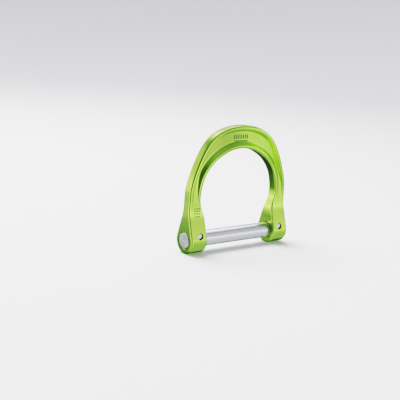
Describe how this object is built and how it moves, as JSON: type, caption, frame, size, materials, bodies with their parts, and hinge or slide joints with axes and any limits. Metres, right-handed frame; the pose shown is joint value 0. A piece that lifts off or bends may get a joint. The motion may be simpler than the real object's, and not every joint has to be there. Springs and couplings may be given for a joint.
{
  "type": "locking carabiner ring",
  "caption": "Openable D-shaped harness ring: a forged half ring closed by a straight round bar that cross screws lock in its teardrop eyes.",
  "frame": {"origin": "on the cross bar's axis, midway between the two eyes", "axes": "+X along the cross bar, +Z from the bar to the crown of the arch, -Y out of the front face (the socket ends of the cross screws are at the back, +Y)"},
  "size_m": [0.0954, 0.0204, 0.0951],
  "materials": {
    "anodised_green": "bright yellow-green anodised forging, satin to glossy",
    "bar_metal": "bare turned aluminium, polished, lathe rings on the end faces",
    "screw_steel": "bright stainless steel"
  },
  "bodies": {
    "ring": {"ring_body": "anodised_green", "cross_bar": "bar_metal"},
    "screw_left": {"lock_screw_left": "screw_steel"},
    "screw_right": {"lock_screw_right": "screw_steel"}
  },
  "joints": [
    {"name": "screw_left_out", "type": "slide", "parent": "ring", "child": "screw_left", "axis": [0, 1, 0], "range_m": [0, 0.018]},
    {"name": "screw_right_out", "type": "slide", "parent": "ring", "child": "screw_right", "axis": [0, 1, 0], "range_m": [0, 0.018]}
  ]
}
